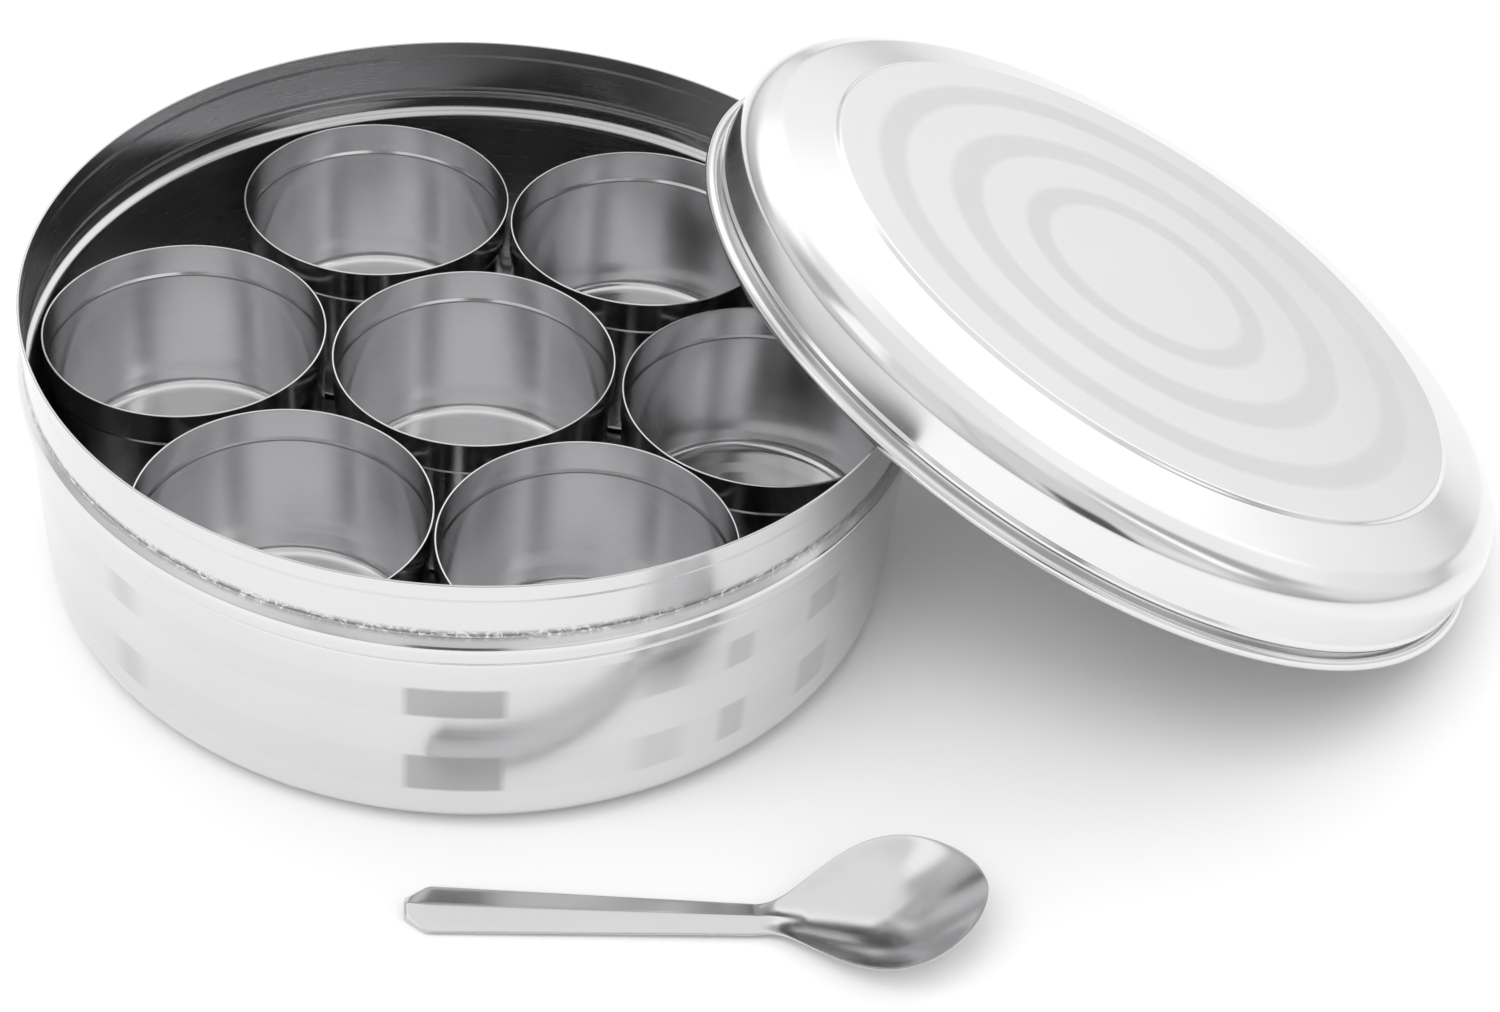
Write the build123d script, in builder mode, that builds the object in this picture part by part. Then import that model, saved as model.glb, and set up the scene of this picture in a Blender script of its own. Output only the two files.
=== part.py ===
from build123d import *
import os
from math import acos, asin, atan2, cos, hypot, radians, sin, sqrt

# Spice box: a round box with seven loose cups, a lid that leans on its rim, and a spoon.
# Millimetres. The origin is the centre of the box's foot, +Z is up and the lid leans on the +X side.

# ---- driving dimensions ----

# box, spun from one sheet
RIM_RADIUS = 100.0  # outside of the neck
BOX_HEIGHT = 72.0
BOX_SHEET = 0.6
NECK_HEIGHT = 17.7  # from the middle of the ridge up to the rim
RIDGE_PROUD = 1.8
RIDGE_HALF_HEIGHT = 3.8
RIDGE_EDGE = 2.0  # radius where the ridge leaves the wall
RIDGE_CREST = 3.0  # radius of the ridge's top
WALL_TAPER = 1.5
BASE_CORNER = 9.0
FOOT_WIDTH = 8.0
PANEL_RAISE = 9.4  # top of the raised floor that the cups stand on
PANEL_SLOPE = 4.0
PANEL_FILLET = 2.0

# cups, drawn from one sheet each
CUP_SHEET = 0.5
CUP_CORNER = 3.0
CUP_BAND = 8.5  # depth of the slightly wider band at the rim
CUP_BAND_STEP = 0.4
CUP_RIM_DROP = 21.3  # from the box's rim down to the cups' rims
CUP_GAP = 2.0  # between the centre cup and each cup of the ring
CUP_FLOOR_GAP = 0.3
CUP_WALL_GAP = 0.8  # between the ring of cups and the neck's bore
RING_TURN = -15.4  # degrees from +X to the ring's first cup
RING_SHIFTS = {  # degrees, how far each loose cup has slid round from an even ring
    "right": -1.9,
    "back_right": 0.4,
    "back_left": -0.6,
    "left": 1.4,
    "front_left": 0.9,
    "front_right": -0.5,
}

# lid, spun from one sheet with a rolled bead
LID_SHEET = 0.6
LID_CLEARANCE = 0.5  # radial, skirt over neck
LID_BEAD = 1.4  # radius of the rolled bead
LID_SKIRT = 16.0
LID_RISE = 6.5  # from the top of the skirt to the flat centre
LID_SHOULDER = 6.5
LID_SHOULDER_WIDTH = 7.0
LID_FLAT_RADIUS = 81.0
LID_STEP = 0.9
LID_CROSSING = 140.5  # degrees round the bead, from its lowest point to where it crosses the rim
LID_GAP = 0.35  # clear of the rim and of the surface it stands on

# spoon, pressed from one sheet
SPOON_LENGTH = 118.5
SPOON_SHEET = 0.9
HANDLE_LENGTH = 72.2
HANDLE_END_WIDTH = 12.6
NECK_WIDTH = 8.2
NECK_LIFT = 0.8  # underside of the neck, above the surface that the spoon lies on
HANDLE_RIDGE = 1.6
BOWL_WIDTH = 35.0
BOWL_DEPTH = 7.2
BOWL_SKEW = 1.35  # over 1 moves the widest and deepest place from the middle towards the tip
BOWL_NECK_POWER = 0.9  # how straight the outline runs out of the neck
BOWL_TIP_POWER = 0.5  # how blunt the tip is
TIP_LIFT = 13.5
SPOON_LIFT = 0.3
SPOON_SIDE = -27.6  # where the handle ends, along X
SPOON_AHEAD = 17.9  # where the handle ends, in front of the box
SPOON_TURN = -9.2  # degrees from +X
HANDLE_SECTIONS = 3
BOWL_SECTIONS = 14

os.makedirs("parts", exist_ok=True)

# ---- sizes that follow ----

cup_radius = (RIM_RADIUS - BOX_SHEET - CUP_WALL_GAP - CUP_GAP) / 3
cup_ring_radius = 2 * cup_radius + CUP_GAP
cup_foot_radius = cup_radius - WALL_TAPER
cup_base = PANEL_RAISE + CUP_FLOOR_GAP
cup_height = BOX_HEIGHT - CUP_RIM_DROP - cup_base

ridge_height = BOX_HEIGHT - NECK_HEIGHT
foot_outer_radius = RIM_RADIUS - WALL_TAPER - BASE_CORNER
foot_inner_radius = foot_outer_radius - FOOT_WIDTH
panel_radius = foot_inner_radius - PANEL_SLOPE

skirt_radius = RIM_RADIUS + LID_CLEARANCE + LID_SHEET
bead_circle = skirt_radius + LID_BEAD - LID_SHEET / 2
lid_height = LID_SKIRT + LID_RISE


# ---- box ----

with BuildPart() as box:
    with BuildSketch(Plane.XZ) as box_section:
        with BuildLine():
            FilletPolyline(
                (0, PANEL_RAISE - BOX_SHEET),
                (panel_radius, PANEL_RAISE - BOX_SHEET),
                (foot_inner_radius, 0),
                (RIM_RADIUS - WALL_TAPER, 0),
                (RIM_RADIUS, ridge_height - RIDGE_HALF_HEIGHT),
                (RIM_RADIUS + RIDGE_PROUD, ridge_height),
                (RIM_RADIUS, ridge_height + RIDGE_HALF_HEIGHT),
                (RIM_RADIUS, BOX_HEIGHT),
                radius=[PANEL_FILLET, PANEL_FILLET, BASE_CORNER, RIDGE_EDGE, RIDGE_CREST, RIDGE_EDGE],
            )
            offset(amount=BOX_SHEET, side=Side.LEFT)
        make_face()
    revolve(axis=Axis.Z)
box.part.label = "box"
export_step(box.part, "parts/box.step")


# ---- cups ----

cup_places = {"cup_centre": Vector(0, 0, cup_base)}
for i, (place_name, shift) in enumerate(RING_SHIFTS.items()):
    turn = radians(RING_TURN + 360 / len(RING_SHIFTS) * i + shift)
    across, along = cup_ring_radius * cos(turn), cup_ring_radius * sin(turn)
    cup_places["cup_" + place_name] = Vector(across, along, cup_base)

for cup_name, cup_origin in cup_places.items():
    band_height = cup_height - CUP_BAND
    with BuildPart() as cup:
        with BuildSketch(Plane(cup_origin, x_dir=(1, 0, 0), z_dir=(0, -1, 0))) as cup_section:
            with BuildLine():
                FilletPolyline(
                    (0, 0),
                    (cup_foot_radius, 0),
                    (cup_radius - CUP_BAND_STEP, band_height),
                    (cup_radius, band_height + 2 * CUP_BAND_STEP),
                    (cup_radius, cup_height),
                    radius=[CUP_CORNER, CUP_SHEET, CUP_SHEET],
                )
                offset(amount=CUP_SHEET, side=Side.LEFT)
            make_face()
        revolve(axis=Axis(cup_origin, (0, 0, 1)))
    cup.part.label = cup_name
    export_step(cup.part, "parts/" + cup_name + ".step")


# ---- lid ----
# The bead's lowest point stands on the floor, and the bead crosses over the box's rim at two
# places, LID_CROSSING degrees either way round from that point. The tilt follows from that, unless
# the rim would then reach the lid's ceiling: a shallow lid stands steeper, with its ceiling on the rim.

crossing_cos = cos(radians(LID_CROSSING))
crossing_y = bead_circle * sin(radians(LID_CROSSING))
rim_line_radius = RIM_RADIUS - BOX_SHEET / 2
bead_lean = asin((BOX_HEIGHT + LID_GAP / 2) / (bead_circle * (1 - crossing_cos)))
low_x = sqrt(rim_line_radius**2 - crossing_y**2) + bead_circle * cos(bead_lean) * (1 - crossing_cos)
low_z = LID_BEAD + LID_GAP

rim_inward = low_x - RIM_RADIUS
rim_upward = BOX_HEIGHT - low_z
ceiling = lid_height - LID_SHEET - LID_GAP
ceiling_lean = acos(ceiling / hypot(rim_inward, rim_upward)) - atan2(rim_inward, rim_upward)

lean = max(bead_lean, ceiling_lean)
lid_origin = Vector(low_x - bead_circle * cos(lean), 0, low_z + bead_circle * sin(lean))
lid_axis = Vector(sin(lean), 0, cos(lean))

with BuildPart() as lid:
    with BuildSketch(Plane(lid_origin, x_dir=(cos(lean), 0, -sin(lean)), z_dir=(0, -1, 0))) as lid_section:
        with BuildLine():
            FilletPolyline(
                (0, lid_height),
                (LID_FLAT_RADIUS, lid_height),
                (LID_FLAT_RADIUS + LID_STEP, lid_height - LID_STEP),
                (skirt_radius - LID_SHOULDER_WIDTH, LID_SKIRT + LID_SHOULDER / 2),
                (skirt_radius, LID_SKIRT),
                (skirt_radius, 0),
                radius=[LID_STEP, LID_STEP, LID_SHOULDER, LID_SHOULDER],
            )
            offset(amount=LID_SHEET, side=Side.RIGHT)
        make_face()
        with Locations((bead_circle, 0)):
            Circle(LID_BEAD)
    revolve(axis=Axis(lid_origin, lid_axis))
lid.part.label = "lid"
export_step(lid.part, "parts/lid.step")


# ---- spoon ----
# One loft through sections that stand across the spoon. Each is a sheet thick, arched up along the
# handle and dished down along the bowl. The bowl's outline tapers into the neck and is blunt at the tip.

bowl_length = SPOON_LENGTH - HANDLE_LENGTH
spoon_plane = Plane((SPOON_SIDE, -RIM_RADIUS - SPOON_AHEAD, 0)).rotated((0, 0, SPOON_TURN))


def handle_section(share):
    """Station, half width, edge height and middle height, share 0 at the end and 1 at the neck."""
    half = (HANDLE_END_WIDTH + (NECK_WIDTH - HANDLE_END_WIDTH) * share) / 2
    edge = SPOON_LIFT + NECK_LIFT * share
    return HANDLE_LENGTH * share, half, edge, edge + HANDLE_RIDGE * (1 - share / 2)


def bowl_section(share):
    """Station, half width, edge height and middle height, share 0 at the neck and 1 at the tip."""
    swell = sin(radians(180 * share**BOWL_SKEW))
    power = BOWL_NECK_POWER + (BOWL_TIP_POWER - BOWL_NECK_POWER) * share
    half = hypot(BOWL_WIDTH / 2 * swell**power, NECK_WIDTH / 2 * (1 - share))
    edge = SPOON_LIFT + NECK_LIFT + (TIP_LIFT - NECK_LIFT) * share
    return HANDLE_LENGTH + bowl_length * share, half, edge, edge - BOWL_DEPTH * swell


stations = [handle_section(i / HANDLE_SECTIONS) for i in range(HANDLE_SECTIONS)]
stations += [bowl_section((i + 0.5) / BOWL_SECTIONS) for i in range(BOWL_SECTIONS)]

with BuildPart() as spoon:
    for station, half, edge, middle in stations:
        across = Plane(
            spoon_plane.from_local_coords((station, 0, 0)),
            x_dir=spoon_plane.y_dir,
            z_dir=spoon_plane.x_dir,
        )
        pull = 2 * middle - edge
        with BuildSketch(across) as spoon_section:
            with BuildLine():
                Bezier((-half, edge), (0, pull), (half, edge))
                Line((half, edge), (half, edge + SPOON_SHEET))
                Bezier((half, edge + SPOON_SHEET), (0, pull + SPOON_SHEET), (-half, edge + SPOON_SHEET))
                Line((-half, edge + SPOON_SHEET), (-half, edge))
            make_face()
    loft(ruled=True)
spoon.part.label = "spoon"
export_step(spoon.part, "parts/spoon.step")
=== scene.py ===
import logging
from dataclasses import dataclass, field
from enum import Enum
from math import asin, cos, pi, radians, sin, sqrt
from typing import Any, Sequence

import bpy
import numpy as np
from mathutils import Matrix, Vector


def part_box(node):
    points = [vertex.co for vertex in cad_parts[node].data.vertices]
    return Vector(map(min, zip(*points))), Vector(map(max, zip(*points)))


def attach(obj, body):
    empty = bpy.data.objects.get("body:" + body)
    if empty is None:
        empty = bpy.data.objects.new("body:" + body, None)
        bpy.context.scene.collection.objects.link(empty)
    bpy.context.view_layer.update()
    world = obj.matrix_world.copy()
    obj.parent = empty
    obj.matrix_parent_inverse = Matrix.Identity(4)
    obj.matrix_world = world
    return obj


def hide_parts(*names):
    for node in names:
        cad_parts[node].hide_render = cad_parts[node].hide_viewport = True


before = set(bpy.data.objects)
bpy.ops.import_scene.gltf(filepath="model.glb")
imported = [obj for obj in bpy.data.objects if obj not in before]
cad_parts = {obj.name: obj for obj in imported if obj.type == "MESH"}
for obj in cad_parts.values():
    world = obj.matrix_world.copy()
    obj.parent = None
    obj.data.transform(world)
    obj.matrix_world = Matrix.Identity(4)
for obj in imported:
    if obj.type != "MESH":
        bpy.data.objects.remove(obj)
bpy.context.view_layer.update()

log = logging.getLogger("spice_box")

MM = 0.001
Array = np.ndarray
Stops = Sequence[tuple[float, float]]
CUP_NODES = sorted(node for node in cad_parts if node.startswith("cup_"))


# ---------------------------------------------------------------- places shared by the sub-assemblies


@dataclass(frozen=True)
class Axes:
    """Where a turned piece stands: its centre and its axis, which leans from +Z towards +X.

    Args:
        origin: Centre of the piece's base, in millimetres.
        lean: Angle of the axis from +Z, in radians.
    """

    origin: tuple[float, float, float]
    lean: float = 0.0

    def place(self, local: Array) -> Array:
        """Turn local millimetres about Y by the lean, move them to the origin and give metres."""
        turn = np.array(
            [[cos(self.lean), 0.0, sin(self.lean)], [0.0, 1.0, 0.0], [-sin(self.lean), 0.0, cos(self.lean)]]
        )
        return (local @ turn.T + np.array(self.origin)) * MM

    def turn(self, vectors: Array) -> Array:
        """Turn directions by the lean, with no move."""
        return Axes((0.0, 0.0, 0.0), self.lean).place(vectors) / MM


# ---------------------------------------------------------------- profiles and surfaces


@dataclass(frozen=True)
class Corner:
    """One corner of a profile: radius from the axis, height, and the fillet that rounds it, in mm."""

    r: float
    z: float
    fillet: float = 0.0


@dataclass(frozen=True)
class Profile:
    """A smooth half section: points (r, z) in mm and the outward unit normal at each."""

    points: Array
    normals: Array

    @staticmethod
    def through(corners: Sequence[Corner], step: float = 5.0) -> "Profile":
        """Round a polyline's corners with tangent arcs.

        At a corner where the path turns by a, the arc of radius f starts f*tan(a/2) before the corner
        and ends as far after it. Its points are spaced evenly by angle, and each normal is the path's
        direction turned a quarter clockwise, so normals run on without a break.

        Args:
            corners: The polyline's corners, in order, the first and last with no fillet.
            step: Largest angle between two points of an arc, in degrees.

        Returns:
            The rounded profile.
        """
        spots = np.array([(c.r, c.z) for c in corners])
        ways = np.diff(spots, axis=0)
        ways /= np.linalg.norm(ways, axis=1, keepdims=True)
        headings = np.unwrap(np.arctan2(ways[:, 1], ways[:, 0]))
        points, angles = [spots[:1]], [headings[:1]]
        for i, corner in enumerate(corners[1:-1]):
            turn = headings[i + 1] - headings[i]
            count = max(4, int(np.ceil(abs(np.degrees(turn)) / step)) + 1)
            sweep = np.linspace(headings[i], headings[i + 1], count)
            back = spots[i + 1] - ways[i] * corner.fillet * np.tan(abs(turn) / 2)
            side = np.sign(turn)
            centre = back + side * corner.fillet * np.array([-ways[i, 1], ways[i, 0]])
            arc = centre + side * corner.fillet * np.stack([np.sin(sweep), -np.cos(sweep)], axis=1)
            points.append(arc)
            angles.append(sweep)
        points.append(spots[-1:])
        angles.append(headings[-1:])
        heading = np.concatenate(angles)
        return Profile(np.concatenate(points), np.stack([np.sin(heading), -np.cos(heading)], axis=1))

    def inside(self, sheet: float) -> "Profile":
        """The parallel path one sheet inside this one, run backwards, with its normals turned round."""
        return Profile((self.points - self.normals * sheet)[::-1], -self.normals[::-1])

    def joined(self, *others: "Profile") -> "Profile":
        """This profile with others run on after it."""
        parts = (self, *others)
        points = np.concatenate([p.points for p in parts])
        normals = np.concatenate([p.normals for p in parts])
        return Profile(points, normals)

    def lip(self, sheet: float, count: int = 7) -> "Profile":
        """A half-round edge at this profile's end, from this side of the sheet over to the inside."""
        normal = self.normals[-1]
        along = np.array([-normal[1], normal[0]])
        sweep = np.linspace(0.0, pi, count + 2)[1:-1, None]
        out = np.cos(sweep) * normal + np.sin(sweep) * along
        middle = self.points[-1] - normal * sheet / 2
        return Profile(middle + out * sheet / 2, out)


def make_mesh(name: str, points: Array, normals: Array, faces: list) -> bpy.types.Object:
    """Make an object from arrays, smooth, with the given normal at every vertex."""
    mesh = bpy.data.meshes.new(name)
    mesh.from_pydata(points.tolist(), [], faces)
    mesh.update()
    mesh.polygons.foreach_set("use_smooth", np.ones(len(mesh.polygons), dtype=bool))
    mesh.normals_split_custom_set_from_vertices(normals.tolist())
    mesh.update()
    piece = bpy.data.objects.new(name, mesh)
    bpy.context.scene.collection.objects.link(piece)
    return piece


def revolve(
    name: str, profile: Profile, axes: Axes, segments: int = 192, outer: int | None = None
) -> bpy.types.Object:
    """Turn a profile whose two ends lie on the axis into a closed surface.

    A point (r, z) becomes a ring (r*cos(t), r*sin(t), z) for t in even steps over a full turn, each
    end becomes one pole, and neighbouring rings are joined by quads that face along the normals.

    Args:
        name: The new object's name.
        profile: The half section, from pole to pole.
        axes: Where the piece stands.
        segments: Steps in a full turn.
        outer: How many points of the profile lie on the outside. Faces past them take the second
            material slot.

    Returns:
        The new object.
    """
    turn = np.linspace(0.0, 2 * pi, segments, endpoint=False)
    ring = np.stack([np.cos(turn), np.sin(turn)], axis=1)

    def spun(values: Array) -> Array:
        """Carry (outwards, upwards) pairs round the axis, one ring for each pair."""
        flat = values[:, None, :1] * ring[None]
        tall = np.broadcast_to(values[:, None, 1:], (len(values), segments, 1))
        return np.concatenate([flat, tall], axis=2).reshape(-1, 3)

    middle, middle_normals = profile.points[1:-1], profile.normals[1:-1]
    poles = np.array([[0.0, 0.0, profile.points[0, 1]], [0.0, 0.0, profile.points[-1, 1]]])
    pole_normals = np.array([[0.0, 0.0, profile.normals[0, 1]], [0.0, 0.0, profile.normals[-1, 1]]])
    points = axes.place(np.concatenate([spun(middle), poles]))
    normals = axes.turn(np.concatenate([spun(middle_normals), pole_normals]))

    step = np.arange(segments)
    after = (step + 1) % segments
    row = np.arange(len(middle) - 1)[:, None] * segments
    quads = np.stack([row + step, row + after, row + segments + after, row + segments + step], axis=2)
    first = len(middle) * segments
    last_row = (len(middle) - 1) * segments
    start_fan = np.stack([np.full(segments, first), after, step], axis=1)
    end_fan = np.stack([last_row + step, last_row + after, np.full(segments, first + 1)], axis=1)
    faces = quads.reshape(-1, 4).tolist() + start_fan.tolist() + end_fan.tolist()
    piece = make_mesh(name, points, normals, faces)
    if outer is not None:
        slots = np.zeros(len(faces), dtype=np.int32)
        slots[(outer - 1) * segments : len(quads) * segments] = 1
        slots[len(quads) * segments + segments :] = 1
        piece.data.polygons.foreach_set("material_index", slots)
    return piece


# ---------------------------------------------------------------- finishes


def linear(code: str) -> tuple[float, float, float, float]:
    """An sRGB hex colour as linear values with full alpha."""
    srgb = np.array([int(code[i : i + 2], 16) for i in (1, 3, 5)]) / 255
    values = np.where(srgb <= 0.04045, srgb / 12.92, ((srgb + 0.055) / 1.055) ** 2.4)
    return (float(values[0]), float(values[1]), float(values[2]), 1.0)


class Tree:
    """A node tree with one short way to add a node."""

    def __init__(self, tree: bpy.types.NodeTree) -> None:
        """Empty the tree and keep it."""
        self.tree = tree
        tree.nodes.clear()

    def add(self, kind: str, settings: dict[str, Any] | None = None, **inputs: Any) -> bpy.types.Node:
        """Add a node with its settings, and set or link its inputs.

        Args:
            kind: The node's type, without the ShaderNode prefix.
            settings: Attributes of the node.
            **inputs: Values or output sockets by input name, with _ for a space, or _0, _1 by place.

        Returns:
            The new node.
        """
        node = self.tree.nodes.new("ShaderNode" + kind)
        for key, value in (settings or {}).items():
            setattr(node, key, value)
        for key, value in inputs.items():
            socket = node.inputs[int(key[1:])] if key[1:].isdigit() else node.inputs[key.replace("_", " ")]
            if isinstance(value, bpy.types.NodeSocket):
                self.tree.links.new(value, socket)
            else:
                socket.default_value = value
        return node

    def math(self, operation: str, *values: Any, clamp: bool = False) -> bpy.types.NodeSocket:
        """A Math node's result for the given values or sockets."""
        inputs = {f"_{i}": value for i, value in enumerate(values)}
        return self.add("Math", {"operation": operation, "use_clamp": clamp}, **inputs).outputs[0]

    def ramp(self, value: Any, stops: Stops, smooth: bool = True) -> bpy.types.NodeSocket:
        """A grey ramp of the value.

        Args:
            value: The socket that runs along the ramp, from 0 to 1.
            stops: (place, level) pairs, in order.
            smooth: Whether the ramp eases from stop to stop, or runs straight.

        Returns:
            The ramp's level.
        """
        node = self.add("ValToRGB", None, _0=value)
        node.color_ramp.interpolation = "EASE" if smooth else "LINEAR"
        while len(node.color_ramp.elements) < len(stops):
            node.color_ramp.elements.new(0.5)
        for element, (place, level) in zip(node.color_ramp.elements, stops):
            element.position = place
            element.color = (level, level, level, 1.0)
        return node.outputs[0]


# noise scales, in turns per mm: soft smears about 29 mm across, slow waves of the sheet about 45 mm
# long, and scuff specks about 3 mm across, which is coarser than real ones
SMEAR_SCALE = 0.035
WAVE_SCALE = 0.022
SCUFF_SCALE = 0.35
SCUFF_AND_GROOVE_SHADE_REACH = 1.5  # how far a scuffed ring, painted darker as the shade of the groove it lies in, fades out up and down the axis, in mm
SCUFF_STOPS = ((0.38, 0.0), (0.52, 1.0))


class Along(Enum):
    """What a satin pattern is counted along: outwards from the axis, or up it."""

    RADIUS = 0
    HEIGHT = 1


@dataclass(frozen=True)
class SatinBand:
    """A band rubbed to a satin finish between two places, in mm, with a soft edge."""

    start: float
    end: float
    edge: float = 0.8


@dataclass(frozen=True)
class Patch:
    """A stretch round the axis, in degrees from +X, where the satin bands are rougher and painted darker,
    as a painted dark reflection.
    """

    start: float
    end: float
    strength: float = 1.0
    edge: float = 1.2


@dataclass(frozen=True)
class SpunSteel:
    """Stainless steel sheet, spun or drawn to shape and buffed while it turns.

    The buffing leaves a near mirror with fine lines round the axis, and a satin pad held against it
    leaves duller bands. The eye reads bright steel with soft-edged reflections, drawn out along the lines.

    Args:
        name: The material's name.
        colour: sRGB hex of the metal.
        roughness: Roughness of the buffed metal.
        satin: Bands rubbed duller.
        along: What the bands are counted along.
        satin_roughness: Added roughness in a satin band.
        satin_and_reflection_shade: How much darker a satin band is, as a share. In the patches it sets the
            depth of the painted dark reflection.
        line_spacing: Between the coarsest spinning lines, in mm. Real ones are finer than shows.
        dent: Height of the sheet's slow waves, in mm.
        scuff_and_groove_shade_heights: Places up the axis, in mm, where the lid has rubbed, and where the
            groove is painted darker as painted shade.
        patches: Stretches round the axis where the satin bands are rougher and painted darker, as painted
            dark reflections. With none it is dull all round.
        line_rise: Height of the spinning lines, in mm.
        smear_roughness: How far the smears spread the roughness.
        smear_shade: How far the smears spread the brightness, as a share.
        line_roughness: Roughness that the spinning lines add.
        scuff_roughness: Roughness that a scuff adds.
        scuff_and_groove_shade: How much darker a scuff is, as a share, which paints the shade of the
            groove.
        satin_outside_patches: Strength of the satin, and of its darkening, between the painted reflection
            patches, as a share.
    """

    name: str
    colour: str = "#D9D9DA"
    roughness: float = 0.12
    satin: tuple[SatinBand, ...] = ()
    along: Along = Along.RADIUS
    satin_roughness: float = 0.16
    satin_and_reflection_shade: float = 0.12
    line_spacing: float = 1.6
    dent: float = 0.05
    scuff_and_groove_shade_heights: tuple[float, ...] = ()
    patches: tuple[Patch, ...] = ()
    line_rise: float = 0.0004
    smear_roughness: float = 0.07
    smear_shade: float = 0.06
    line_roughness: float = 0.05
    scuff_roughness: float = 0.3
    scuff_and_groove_shade: float = 0.72
    satin_outside_patches: float = 0.06

    def window(
        self, tree: Tree, value: Any, start: float, end: float, edge: float
    ) -> bpy.types.NodeSocket:
        """A soft-edged window on a value.

        Args:
            tree: The tree that takes the nodes.
            value: The socket that is looked at.
            start: Where the window starts.
            end: Where it ends.
            edge: Width of the soft edge inside each end.

        Returns:
            1 where the value is well between start and end, and 0 outside.
        """
        rise = tree.math("DIVIDE", tree.math("SUBTRACT", value, start), edge, clamp=True)
        fall = tree.math("DIVIDE", tree.math("SUBTRACT", end, value), edge, clamp=True)
        return tree.math("MULTIPLY", rise, fall)

    def make(self, axes: Axes) -> bpy.types.Material:
        """Build the material for a piece that stands at these axes."""
        material = bpy.data.materials.new(self.name)
        material.use_nodes = True
        tree = Tree(material.node_tree)

        # the piece's own millimetres: origin at its base, Z along its axis
        place = tree.add("TexCoord").outputs["Object"]
        own = tree.add(
            "Mapping",
            {"vector_type": "TEXTURE"},
            _0=place,
            Location=tuple(v * MM for v in axes.origin),
            Rotation=(0.0, axes.lean, 0.0),
            Scale=(MM, MM, MM),
        ).outputs[0]
        parts = tree.add("SeparateXYZ", None, _0=own)
        x, y, z = parts.outputs
        square = tree.math("ADD", tree.math("MULTIPLY", x, x), tree.math("MULTIPLY", y, y))
        radius = tree.math("SQRT", square)

        # spinning lines: noise on (radius, height) only, so it runs in rings
        section = tree.add("CombineXYZ", None, X=radius, Y=z, Z=0.0).outputs[0]
        lines = tree.add(
            "TexNoise",
            {"noise_dimensions": "2D"},
            Vector=section,
            Scale=1.0 / self.line_spacing,
            Detail=1.0,
            Roughness=0.5,
        ).outputs[0]
        # smears: soft patches a few centimetres across where hands and cloth have dulled the shine
        smears = tree.add(
            "TexNoise", None, Vector=own, Scale=SMEAR_SCALE, Detail=3.0, Roughness=0.55
        ).outputs[0]
        waves = tree.add(
            "TexNoise", None, Vector=own, Scale=WAVE_SCALE, Detail=1.0, Roughness=0.4
        ).outputs[0]

        least = self.roughness - self.smear_roughness / 2
        rough = tree.math("MULTIPLY_ADD", smears, self.smear_roughness, least)
        rough = tree.math("MULTIPLY_ADD", lines, self.line_roughness, rough)
        shade: Any = 0.0
        if self.satin:
            counted = radius if self.along is Along.RADIUS else z
            for band in self.satin:
                inside = self.window(tree, counted, band.start, band.end, band.edge)
                shade = tree.math("MAXIMUM", inside, shade)
            # painted reflection: in the listed patches the satin bands are painted darker, standing in for
            # dark strips of the surround mirrored in the steel; the same mask also roughens them
            if self.patches:
                turn = tree.math("MULTIPLY", tree.math("ARCTAN2", y, x), 180 / pi)
                painted_reflection_and_satin: Any = 0.0
                for patch in self.patches:
                    inside = self.window(tree, turn, patch.start, patch.end, patch.edge)
                    painted_reflection_and_satin = tree.math("MULTIPLY_ADD", inside, patch.strength, painted_reflection_and_satin)
                painted_reflection_and_satin = tree.math("MULTIPLY_ADD", painted_reflection_and_satin, 1.0 - self.satin_outside_patches, self.satin_outside_patches)
                shade = tree.math("MULTIPLY", shade, painted_reflection_and_satin)
            rough = tree.math("MULTIPLY_ADD", shade, self.satin_roughness, rough)
        tone = tree.math("SUBTRACT", 1.0, tree.math("MULTIPLY", shade, self.satin_and_reflection_shade))
        # scuffed rings: speckled roughness where the lid rubs, and painted shade that darkens the groove
        # there, broken into specks
        for height in self.scuff_and_groove_shade_heights:
            near = tree.math("ABSOLUTE", tree.math("SUBTRACT", z, height))
            band = tree.math("SUBTRACT", 1.0, tree.math("DIVIDE", near, SCUFF_AND_GROOVE_SHADE_REACH), clamp=True)
            specks = tree.add(
                "TexNoise", None, Vector=own, Scale=SCUFF_SCALE, Detail=4.0, Roughness=0.75, Distortion=1.5
            ).outputs[0]
            scuff_and_groove_mark = tree.math("MULTIPLY", band, tree.ramp(specks, SCUFF_STOPS))
            rough = tree.math("MULTIPLY_ADD", scuff_and_groove_mark, self.scuff_roughness, rough)
            tone = tree.math("MULTIPLY", tone, tree.math("MULTIPLY_ADD", scuff_and_groove_mark, -self.scuff_and_groove_shade, 1.0))
        darkest = 1.0 - self.smear_shade / 2
        tone = tree.math("MULTIPLY", tone, tree.math("MULTIPLY_ADD", smears, self.smear_shade, darkest))
        colour = tree.add(
            "Mix",
            {"data_type": "RGBA", "blend_type": "MULTIPLY"},
            _0=1.0,
            _6=linear(self.colour),
            _7=tree.add("CombineColor", None, Red=tone, Green=tone, Blue=tone).outputs[0],
        ).outputs[2]

        relief = tree.math("MULTIPLY", waves, self.dent)
        relief = tree.math("MULTIPLY_ADD", lines, self.line_rise, relief)
        bump = tree.add("Bump", None, Height=relief, Distance=MM, Strength=1.0).outputs[0]
        shader = tree.add(
            "BsdfPrincipled", None, Base_Color=colour, Metallic=1.0, Roughness=rough, Normal=bump
        )
        tree.add("OutputMaterial", None, Surface=shader.outputs[0])
        return material


def dress(piece: bpy.types.Object, material: bpy.types.Material) -> None:
    """Give a piece its material."""
    piece.data.materials.append(material)


# ---------------------------------------------------------------- the box


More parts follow.
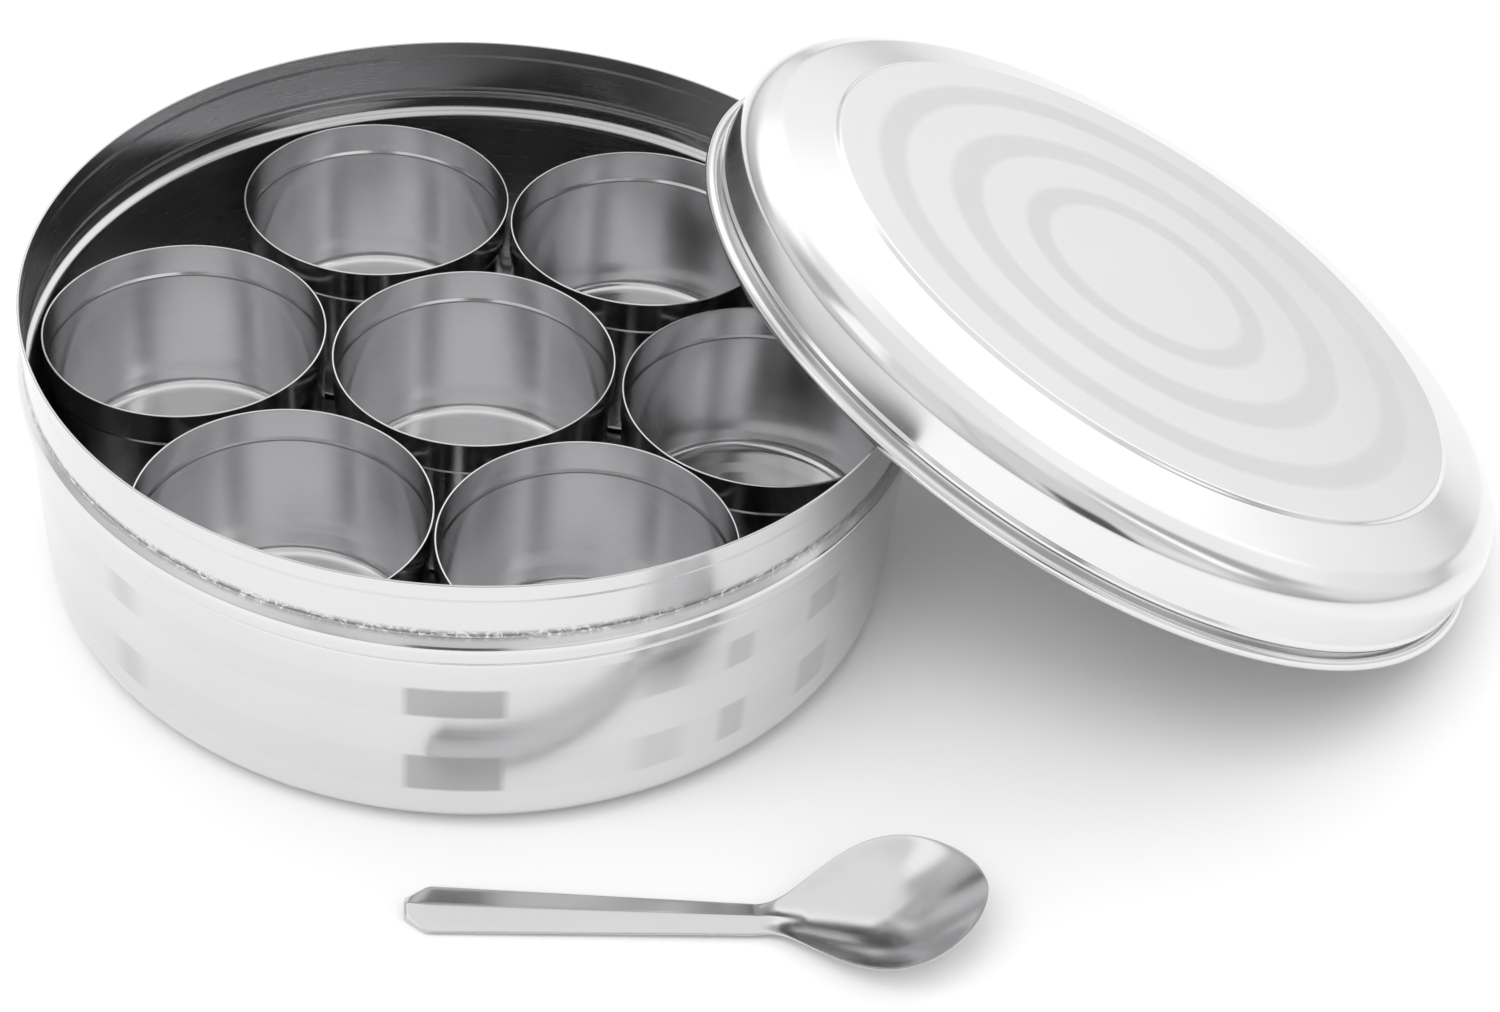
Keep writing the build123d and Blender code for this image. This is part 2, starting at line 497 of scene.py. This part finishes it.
@dataclass(frozen=True)
class SpiceBox:
    """The round box: raised floor, foot ring, rounded base, wall, rolled-out ridge and plain neck."""

    rim_radius: float = 100.0
    height: float = 72.0
    sheet: float = 0.6
    neck: float = 17.7
    ridge_proud: float = 1.4
    ridge_half: float = 3.6
    taper: float = 1.5
    base_corner: float = 9.0
    foot_width: float = 8.0
    floor: float = 9.4
    floor_slope: float = 4.0
    groove: float = 0.35
    floor_fillet: float = 2.0
    wall_inset: float = 0.2  # how far the wall's top stands inside the rim's radius
    neck_inset: float = 0.15  # how far the neck does, below the band at the rim
    rim_band: float = 3.6  # depth of the slightly wider band at the rim
    rim_step: float = 0.8  # height over which the neck widens to the band
    segments: int = 256

    @property
    def ridge(self) -> float:
        """Height of the ridge that the lid comes down on."""
        return self.height - self.neck

    def outside(self) -> Profile:
        """The outer path, from the middle of the underside out and up to the rim."""
        foot = self.rim_radius - self.taper - self.base_corner - self.foot_width
        low, high = self.ridge - self.ridge_half, self.ridge + self.ridge_half
        wall = self.rim_radius
        corners = (
            Corner(0.0, self.floor - self.sheet),
            Corner(foot - self.floor_slope, self.floor - self.sheet, self.floor_fillet),
            Corner(foot, 0.0, self.floor_fillet),
            Corner(self.rim_radius - self.taper, 0.0, self.base_corner),
            Corner(wall - self.wall_inset, low - 3.2, 3.0),
            Corner(wall - self.wall_inset, low - 0.9, 0.7),
            Corner(wall - self.groove, low, 0.7),
            Corner(wall + self.ridge_proud, low + 1.1, 1.8),
            Corner(wall + self.ridge_proud, high - 2.2, 3.0),
            Corner(wall - self.groove, high + 0.3, 0.8),
            Corner(wall - self.neck_inset, high + 1.3, 0.7),
            Corner(wall - self.neck_inset, self.height - self.rim_band - self.rim_step, 0.6),
            Corner(wall, self.height - self.rim_band, 0.6),
            Corner(wall, self.height - self.sheet / 2),
        )
        return Profile.through(corners)

    def build(self) -> bpy.types.Object:
        """Spin the box's sheet: outside, half-round rim, then the inside back to the middle."""
        outer = self.outside()
        profile = outer.joined(outer.lip(self.sheet), outer.inside(self.sheet))
        axes = Axes((0.0, 0.0, 0.0))
        piece = revolve("box_body", profile, axes, self.segments, len(outer.points))
        finish = SpunSteel(
            "buffed_spun_stainless_box",
            colour="#DCDCDD",
            roughness=0.13,
            along=Along.HEIGHT,
            satin=(SatinBand(12.5, 23.6), SatinBand(34.7, 43.5)),
            # the satin shade here mostly sets the depth of the painted dark reflections in the patches
            # below
            satin_and_reflection_shade=0.36,
            # painted shade in the groove just above the ridge, with scuff specks where the lid rubs
            scuff_and_groove_shade_heights=(self.ridge + 4.5,),
            patches=(
                Patch(-148.0, -140.5, 0.45, 3.0),
                Patch(-105.5, -92.5, 1.0),
                Patch(-78.0, -69.0, 0.35, 3.0),
                Patch(-65.5, -60.5, 0.55),
                Patch(-52.0, -45.0, 0.5),
                Patch(-20.0, -11.0, 0.4, 3.0),
                Patch(30.0, 42.0, 0.8),
                Patch(74.0, 81.0, 0.4, 3.0),
                Patch(112.0, 124.0, 0.9),
                Patch(158.0, 166.0, 0.5, 3.0),
            ),
        )
        dress(piece, finish.make(axes))
        lining = SpunSteel("turned_stainless_box_inside", colour="#CFCFD0", roughness=0.24, dent=0.06)
        piece.data.materials.append(lining.make(axes))
        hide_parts("box")
        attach(piece, "box")
        return piece


# ---------------------------------------------------------------- the cups


@dataclass(frozen=True)
class Cup:
    """One loose cup, drawn from a sheet: flat floor, rounded corner, wall and a wider band at the rim."""

    node: str
    sheet: float = 0.5
    corner: float = 3.0
    band: float = 8.5
    band_step: float = 0.4
    taper: float = 1.5
    recess: float = 0.25  # how far the middle of the foot is pushed up
    recess_inner: float = 0.62  # where the recess starts to fall to the foot, as a share of the radius
    recess_outer: float = 0.74  # where it meets the foot
    recess_fillet: float = 6.0
    segments: int = 144

    def build(self) -> bpy.types.Object:
        """Draw the cup inside its own box in the frame."""
        low, high = (np.array(v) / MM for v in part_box(self.node))
        centre, height = (low + high) / 2, high[2] - low[2]
        radius = (high[0] - low[0]) / 2
        band_base = height - self.band
        corners = (
            Corner(0.0, self.recess),
            Corner(radius * self.recess_inner, self.recess, self.recess_fillet),
            Corner(radius * self.recess_outer, 0.0, self.recess_fillet),
            Corner(radius - self.taper, 0.0, self.corner),
            Corner(radius - self.band_step, band_base, 0.6),
            Corner(radius, band_base + 2 * self.band_step, 0.6),
            Corner(radius, height - self.sheet / 2),
        )
        outer = Profile.through(corners)
        profile = outer.joined(outer.lip(self.sheet), outer.inside(self.sheet))
        axes = Axes((float(centre[0]), float(centre[1]), float(low[2])))
        piece = revolve(self.node + "_body", profile, axes, self.segments)
        finish = SpunSteel(
            "drawn_stainless_" + self.node, colour="#D8D8D9", roughness=0.16, dent=0.02, line_rise=0.0
        )
        dress(piece, finish.make(axes))
        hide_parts(self.node)
        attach(piece, self.node)
        return piece


# ---------------------------------------------------------------- the lid


@dataclass(frozen=True)
class Lid:
    """The loose lid: rolled bead, skirt, rounded shoulder, sloping rim zone and a flat, ringed centre."""

    box: SpiceBox = field(default_factory=SpiceBox)
    sheet: float = 0.6
    clearance: float = 0.5
    bead: float = 1.4
    skirt: float = 16.0
    rise: float = 6.5
    shoulder: float = 6.5
    shoulder_width: float = 7.0
    flat_radius: float = 81.0
    step: float = 0.9
    crossing: float = 140.5
    gap: float = 0.35
    edge_fillet: float = 1.2  # rounds both edges of the step round the flat centre
    bead_fillet: float = 1.35
    swell: float = 0.35  # how far the skirt swells out just above the bead
    segments: int = 256

    @property
    def skirt_radius(self) -> float:
        """Outside of the skirt, which slips over the box's neck."""
        return self.box.rim_radius + self.clearance + self.sheet

    @property
    def bead_circle(self) -> float:
        """Radius of the circle that the bead's middle runs on."""
        return self.skirt_radius + self.bead - self.sheet / 2

    def axes(self) -> Axes:
        """Where the lid leans: its bead stands on the floor and crosses the box's rim at two places."""
        across = cos(radians(self.crossing))
        lean = asin((self.box.height + self.gap / 2) / (self.bead_circle * (1 - across)))
        rim = self.box.rim_radius - self.box.sheet / 2
        side = self.bead_circle * sin(radians(self.crossing))
        x = sqrt(rim**2 - side**2) - self.bead_circle * cos(lean) * across
        return Axes((x, 0.0, self.bead_circle * sin(lean) + self.bead + self.gap), lean)

    def build(self) -> bpy.types.Object:
        """Spin the lid's sheet: the inside out to the skirt's edge, round the bead, then the outside."""
        top = self.skirt + self.rise
        wall = self.skirt_radius
        inner = wall - self.sheet
        edge = self.bead_circle + self.bead
        corners = (
            Corner(0.0, top - self.sheet),
            Corner(self.flat_radius, top - self.sheet, self.edge_fillet),
            Corner(self.flat_radius + self.step, top - self.step - self.sheet, self.edge_fillet),
            Corner(inner - self.shoulder_width, self.skirt + self.shoulder / 2 - self.sheet, self.shoulder),
            Corner(inner, self.skirt - self.sheet, self.shoulder),
            Corner(inner, -self.bead, 0.5),
            Corner(edge, -self.bead, self.bead_fillet),
            Corner(edge, self.bead, self.bead_fillet),
            Corner(wall + 0.95, self.bead, 0.4),
            Corner(wall + 0.05, 0.0, 0.12),
            Corner(wall + 0.05, self.bead + 1.0, 0.3),
            Corner(wall + self.swell, self.bead + 1.6, 0.4),
            Corner(wall + self.swell, self.bead + 2.2, 0.4),
            Corner(wall, self.bead + 3.0, 0.5),
            Corner(wall, self.skirt, self.shoulder),
            Corner(wall - self.shoulder_width, self.skirt + self.shoulder / 2, self.shoulder),
            Corner(self.flat_radius + self.step, top - self.step, self.edge_fillet),
            Corner(self.flat_radius, top, self.edge_fillet),
            Corner(0.0, top),
        )
        axes = self.axes()
        piece = revolve("lid_body", Profile.through(corners), axes, self.segments)
        finish = SpunSteel(
            "buffed_spun_stainless_lid",
            colour="#E2E2E3",
            roughness=0.12,
            satin=(SatinBand(25.0, 33.0, 2.0), SatinBand(43.0, 53.0, 2.0), SatinBand(63.0, 72.0, 2.0)),
            dent=0.03,
        )
        dress(piece, finish.make(axes))
        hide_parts("lid")
        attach(piece, "lid")
        return piece


# ---------------------------------------------------------------- the spoon


@dataclass(frozen=True)
class Spoon:
    """The pressed spoon: a folded handle with a clipped end, and a dished, pointed bowl."""

    length: float = 118.0
    sheet: float = 0.9
    handle: float = 72.2
    end_width: float = 12.6
    neck_width: float = 8.2
    neck_lift: float = 0.8
    ridge: float = 1.6
    bowl_width: float = 35.0
    bowl_depth: float = 7.2
    bowl_skew: float = 1.35
    neck_power: float = 0.9
    tip_power: float = 0.5
    tip_lift: float = 13.5
    lift: float = 0.35
    end: tuple[float, float] = (-27.6, -117.9)
    turn: float = -9.2
    clip: float = 4.6  # how far along the handle its corners are clipped
    clip_slope: float = 0.8
    ridge_reach: float = 0.22  # how far the ridge runs into the bowl, as a share of the bowl
    ridge_fade: float = 0.7
    edge_power: int = 12  # how late the sheet closes towards its edges
    least_half: float = 0.02  # square of the smallest half width, which keeps the tip from closing

    def surface(self, stations: int = 180, across: int = 48) -> Array:
        """Points of the closed strip.

        Along the spoon s runs from the handle's end to the tip, and v runs from edge to edge. The
        outline's half width runs from the neck into the bowl as a power of its swell, sin(180*t^skew),
        and the power falls from the neck's to the tip's, so the neck is slim and the tip blunt. The
        height is the edge's line, less a dish (1 - v^2) deep in the bowl, plus a tent one handle wide
        for the folded ridge, which fades out a little way into the bowl. The sheet's thickness closes
        at the edges as an ellipse does.

        Args:
            stations: Rows of points from the handle's end to the tip.
            across: Points from edge to edge on one side of the sheet.

        Returns:
            The grid of points, stations by loop, in the frame's millimetres.
        """
        ease = np.linspace(0.0, 1.0, stations)
        s = self.length * np.sin(pi / 2 * ease)
        bowl = self.length - self.handle
        t = np.clip((s - self.handle) / bowl, 0.0, 1.0)
        share = np.clip(s / self.handle, 0.0, 1.0)

        straight = (self.end_width + (self.neck_width - self.end_width) * share) / 2
        clipped = straight - np.clip(self.clip - s, 0.0, None) * self.clip_slope
        swell = np.clip(np.sin(pi * t**self.bowl_skew), 0.0, 1.0)
        power = self.neck_power + (self.tip_power - self.neck_power) * t
        bowl_half = self.bowl_width / 2 * swell**power
        half = np.sqrt(bowl_half**2 + (clipped * (1 - t)) ** 2 + self.least_half)
        edge = self.lift + self.neck_lift * share + (self.tip_lift - self.neck_lift) * t
        dish = self.bowl_depth * swell
        fade = np.clip(1 - t / self.ridge_reach, 0.0, 1.0)
        fold = self.ridge * (1 - share / 2) * fade**self.ridge_fade

        v = np.cos(np.linspace(pi, 0.0, across))
        y = half[:, None] * v
        tent_half = np.minimum(clipped, self.neck_width / 2 + 2)[:, None]
        tent = np.clip(1 - np.abs(y) / tent_half, 0.0, 1.0)
        middle = edge[:, None] - dish[:, None] * (1 - v**2) + fold[:, None] * tent
        thick = self.sheet / 2 * np.sqrt(np.clip(1 - v**self.edge_power, 0.0, 1.0))
        along = np.broadcast_to(s[:, None], y.shape)
        top = np.stack([along, y, middle + self.sheet / 2 + thick], axis=2)
        low = np.stack([along, y, middle + self.sheet / 2 - thick], axis=2)
        loop = np.concatenate([low, top[:, -2:0:-1]], axis=1)
        heading = radians(self.turn)
        ahead, aside = cos(heading), sin(heading)
        spin = np.array([[ahead, -aside, 0.0], [aside, ahead, 0.0], [0.0, 0.0, 1.0]])
        return loop @ spin.T + np.array([*self.end, 0.0])

    def build(self) -> bpy.types.Object:
        """Skin the strip, close its two ends and dress it."""
        grid = self.surface()
        rows, count = grid.shape[:2]
        step = np.arange(count)
        after = (step + 1) % count
        row = np.arange(rows - 1)[:, None] * count
        quads = np.stack([row + step, row + count + step, row + count + after, row + after], axis=2)
        points = grid.reshape(-1, 3) * MM
        mesh = bpy.data.meshes.new("spoon_body")
        caps = [step.tolist(), ((rows - 1) * count + step[::-1]).tolist()]
        mesh.from_pydata(points.tolist(), [], quads.reshape(-1, 4).tolist() + caps)
        mesh.update()
        mesh.polygons.foreach_set("use_smooth", np.ones(len(mesh.polygons), dtype=bool))
        piece = bpy.data.objects.new("spoon_body", mesh)
        bpy.context.scene.collection.objects.link(piece)
        finish = SpunSteel("pressed_polished_stainless_spoon", roughness=0.16, dent=0.04)
        dress(piece, finish.make(Axes((*self.end, 0.0))))
        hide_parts("spoon")
        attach(piece, "spoon")
        return piece


# ---------------------------------------------------------------- floor, light and camera


def standing(right: Array, up: Array, back: Array, place: Sequence[float]) -> Matrix:
    """Where a lamp or camera stands.

    Args:
        right: Its own X, as a unit vector.
        up: Its own Y.
        back: Its own Z, which points away from what it faces.
        place: Its place, in metres.

    Returns:
        The matrix with these columns.
    """
    turned = np.eye(4)
    turned[:3] = np.stack([right, up, back, place], axis=1)
    return Matrix(turned.tolist())


@dataclass(frozen=True)
class Studio:
    """A plain pale floor, soft light from all round, and the camera."""

    floor_size: float = 6.0
    floor_colour: str = "#F8F8F8"
    focal_mm: float = 63.05
    sensor_mm: float = 36.0
    nearest: float = 0.01  # closest that the camera sees, in metres
    elevation: float = 41.10
    azimuth: float = 11.19
    roll: float = 3.74
    distance: float = 525.9
    target: tuple[float, float, float] = (12.34, -77.82, 72.0)
    shift: float = 0.1103
    backdrop: float = 0.92
    key_place: tuple[float, float, float] = (-0.5, -0.6, 1.4)
    key_aim: tuple[float, float, float] = (0.05, 0.0, 0.0)
    key_size: float = 1.0
    key_power: float = 10.0
    pane_heights: Stops = ((0.30, 0.0), (0.45, 1.0), (0.78, 1.0), (0.92, 0.0))
    ceiling_heights: Stops = ((0.78, 0.0), (0.92, 1.0))
    heights: Stops = ((0.0, 0.60), (0.12, 0.95), (0.30, 1.02), (0.8, 1.0))
    strips: Stops = (
        (0.00, 0.75),
        (0.07, 0.95),
        (0.15, 0.65),
        (0.19, 0.95),
        (0.195, 0.10),
        (0.25, 0.10),
        (0.255, 0.95),
        (0.33, 1.00),
        (0.37, 0.60),
        (0.42, 0.60),
        (0.45, 0.90),
        (0.56, 1.00),
        (0.60, 1.10),
        (0.70, 1.10),
        (0.80, 0.70),
        (0.86, 0.55),
        (0.90, 0.85),
        (1.00, 0.75),
    )
    panes: Stops = (
        (0.000, 1.25),
        (0.035, 1.25),
        (0.050, 0.85),
        (0.130, 0.85),
        (0.134, 0.35),
        (0.140, 0.80),
        (0.328, 0.80),
        (0.333, 0.35),
        (0.339, 0.80),
        (0.358, 0.80),
        (0.363, 0.35),
        (0.370, 1.30),
        (0.405, 1.30),
        (0.415, 0.50),
        (0.470, 0.50),
        (0.500, 1.00),
        (0.560, 1.35),
        (0.850, 1.35),
        (0.930, 0.55),
        (0.970, 0.55),
        (0.985, 1.25),
        (1.000, 1.25),
    )

    def floor(self) -> None:
        """Lay the floor."""
        half = self.floor_size / 2
        mesh = bpy.data.meshes.new("floor")
        corners = [(-half, -half, 0.0), (half, -half, 0.0), (half, half, 0.0), (-half, half, 0.0)]
        mesh.from_pydata(corners, [], [(0, 1, 2, 3)])
        floor = bpy.data.objects.new("floor", mesh)
        bpy.context.scene.collection.objects.link(floor)
        material = bpy.data.materials.new("matt_white_paper")
        material.use_nodes = True
        tree = Tree(material.node_tree)
        shader = tree.add("BsdfPrincipled", None, Base_Color=linear(self.floor_colour), Roughness=0.9)
        tree.add("OutputMaterial", None, Surface=shader.outputs[0])
        mesh.materials.append(material)

    def surround(self) -> None:
        """A white tent of light that darkens to grey strips near the horizon, for steel to reflect."""
        world = bpy.data.worlds.new("white_tent")
        bpy.context.scene.world = world
        world.use_nodes = True
        tree = Tree(world.node_tree)
        way = tree.add("TexCoord").outputs["Generated"]
        x, y, z = tree.add("SeparateXYZ", None, _0=way).outputs
        turn = tree.math("MULTIPLY_ADD", tree.math("ARCTAN2", y, x), 1 / (2 * pi), 0.5)
        strips = tree.ramp(turn, self.strips, smooth=False)
        panes = tree.ramp(turn, self.panes, smooth=False)
        height = tree.ramp(z, self.heights)
        window = tree.ramp(z, self.pane_heights)
        ceiling = tree.ramp(z, self.ceiling_heights)
        level = tree.math("MULTIPLY_ADD", tree.math("SUBTRACT", panes, strips), window, strips)
        level = tree.math("MULTIPLY_ADD", tree.math("SUBTRACT", 1.0, level), ceiling, level)
        level = tree.math("MULTIPLY", level, height)
        seen = tree.add("LightPath").outputs["Is Camera Ray"]
        shown = tree.math("MULTIPLY_ADD", tree.math("SUBTRACT", self.backdrop, level), seen, level)
        grey = tree.add("CombineColor", None, Red=shown, Green=shown, Blue=shown).outputs[0]
        background = tree.add("Background", None, Color=grey, Strength=1.0)
        tree.add("OutputWorld", None, Surface=background.outputs[0])

    def light(self) -> None:
        """Hang one square soft light that steel doesn't reflect."""
        lamp = bpy.data.lights.new("key", "AREA")
        lamp.size = self.key_size
        lamp.energy = self.key_power
        holder = bpy.data.objects.new("key", lamp)
        holder.visible_glossy = False
        bpy.context.scene.collection.objects.link(holder)
        back = np.array(self.key_place) - np.array(self.key_aim)
        back /= np.linalg.norm(back)
        side = np.cross([0.0, 1.0, 0.1], back)
        side /= np.linalg.norm(side)
        holder.matrix_world = standing(side, np.cross(back, side), back, self.key_place)

    def camera(self) -> None:
        """Set the camera: its lens, its place round the box and its slight roll."""
        across, down, tilt = radians(self.azimuth), radians(self.elevation), radians(self.roll)
        forward = np.array([cos(down) * sin(across), cos(down) * cos(across), -sin(down)])
        level = np.array([cos(across), -sin(across), 0.0])
        upright = np.cross(level, forward)
        right = cos(tilt) * level + sin(tilt) * upright
        up = cos(tilt) * upright - sin(tilt) * level
        place = (np.array(self.target) - forward * self.distance) * MM
        data = bpy.data.cameras.new("camera")
        data.lens = self.focal_mm
        data.sensor_width = self.sensor_mm
        data.sensor_fit = "HORIZONTAL"
        data.shift_x = self.shift
        data.clip_start = self.nearest
        camera = bpy.data.objects.new("camera", data)
        bpy.context.scene.collection.objects.link(camera)
        camera.matrix_world = standing(right, up, -forward, place)
        bpy.context.scene.camera = camera

    def build(self) -> None:
        """Set the camera, lay the floor, put up the tent and hang the light."""
        bpy.context.scene.view_settings.view_transform = "Standard"
        self.camera()
        self.floor()
        self.surround()
        self.light()


def main() -> None:
    """Build the studio and every piece, in order."""
    logging.basicConfig(level=logging.INFO)
    Studio().build()
    builders = [SpiceBox(), *(Cup(node) for node in CUP_NODES), Lid(), Spoon()]
    for builder in builders:
        piece = builder.build()
        log.info("%s: %d faces", piece.name, len(piece.data.polygons))


if __name__ == "__main__":
    main()
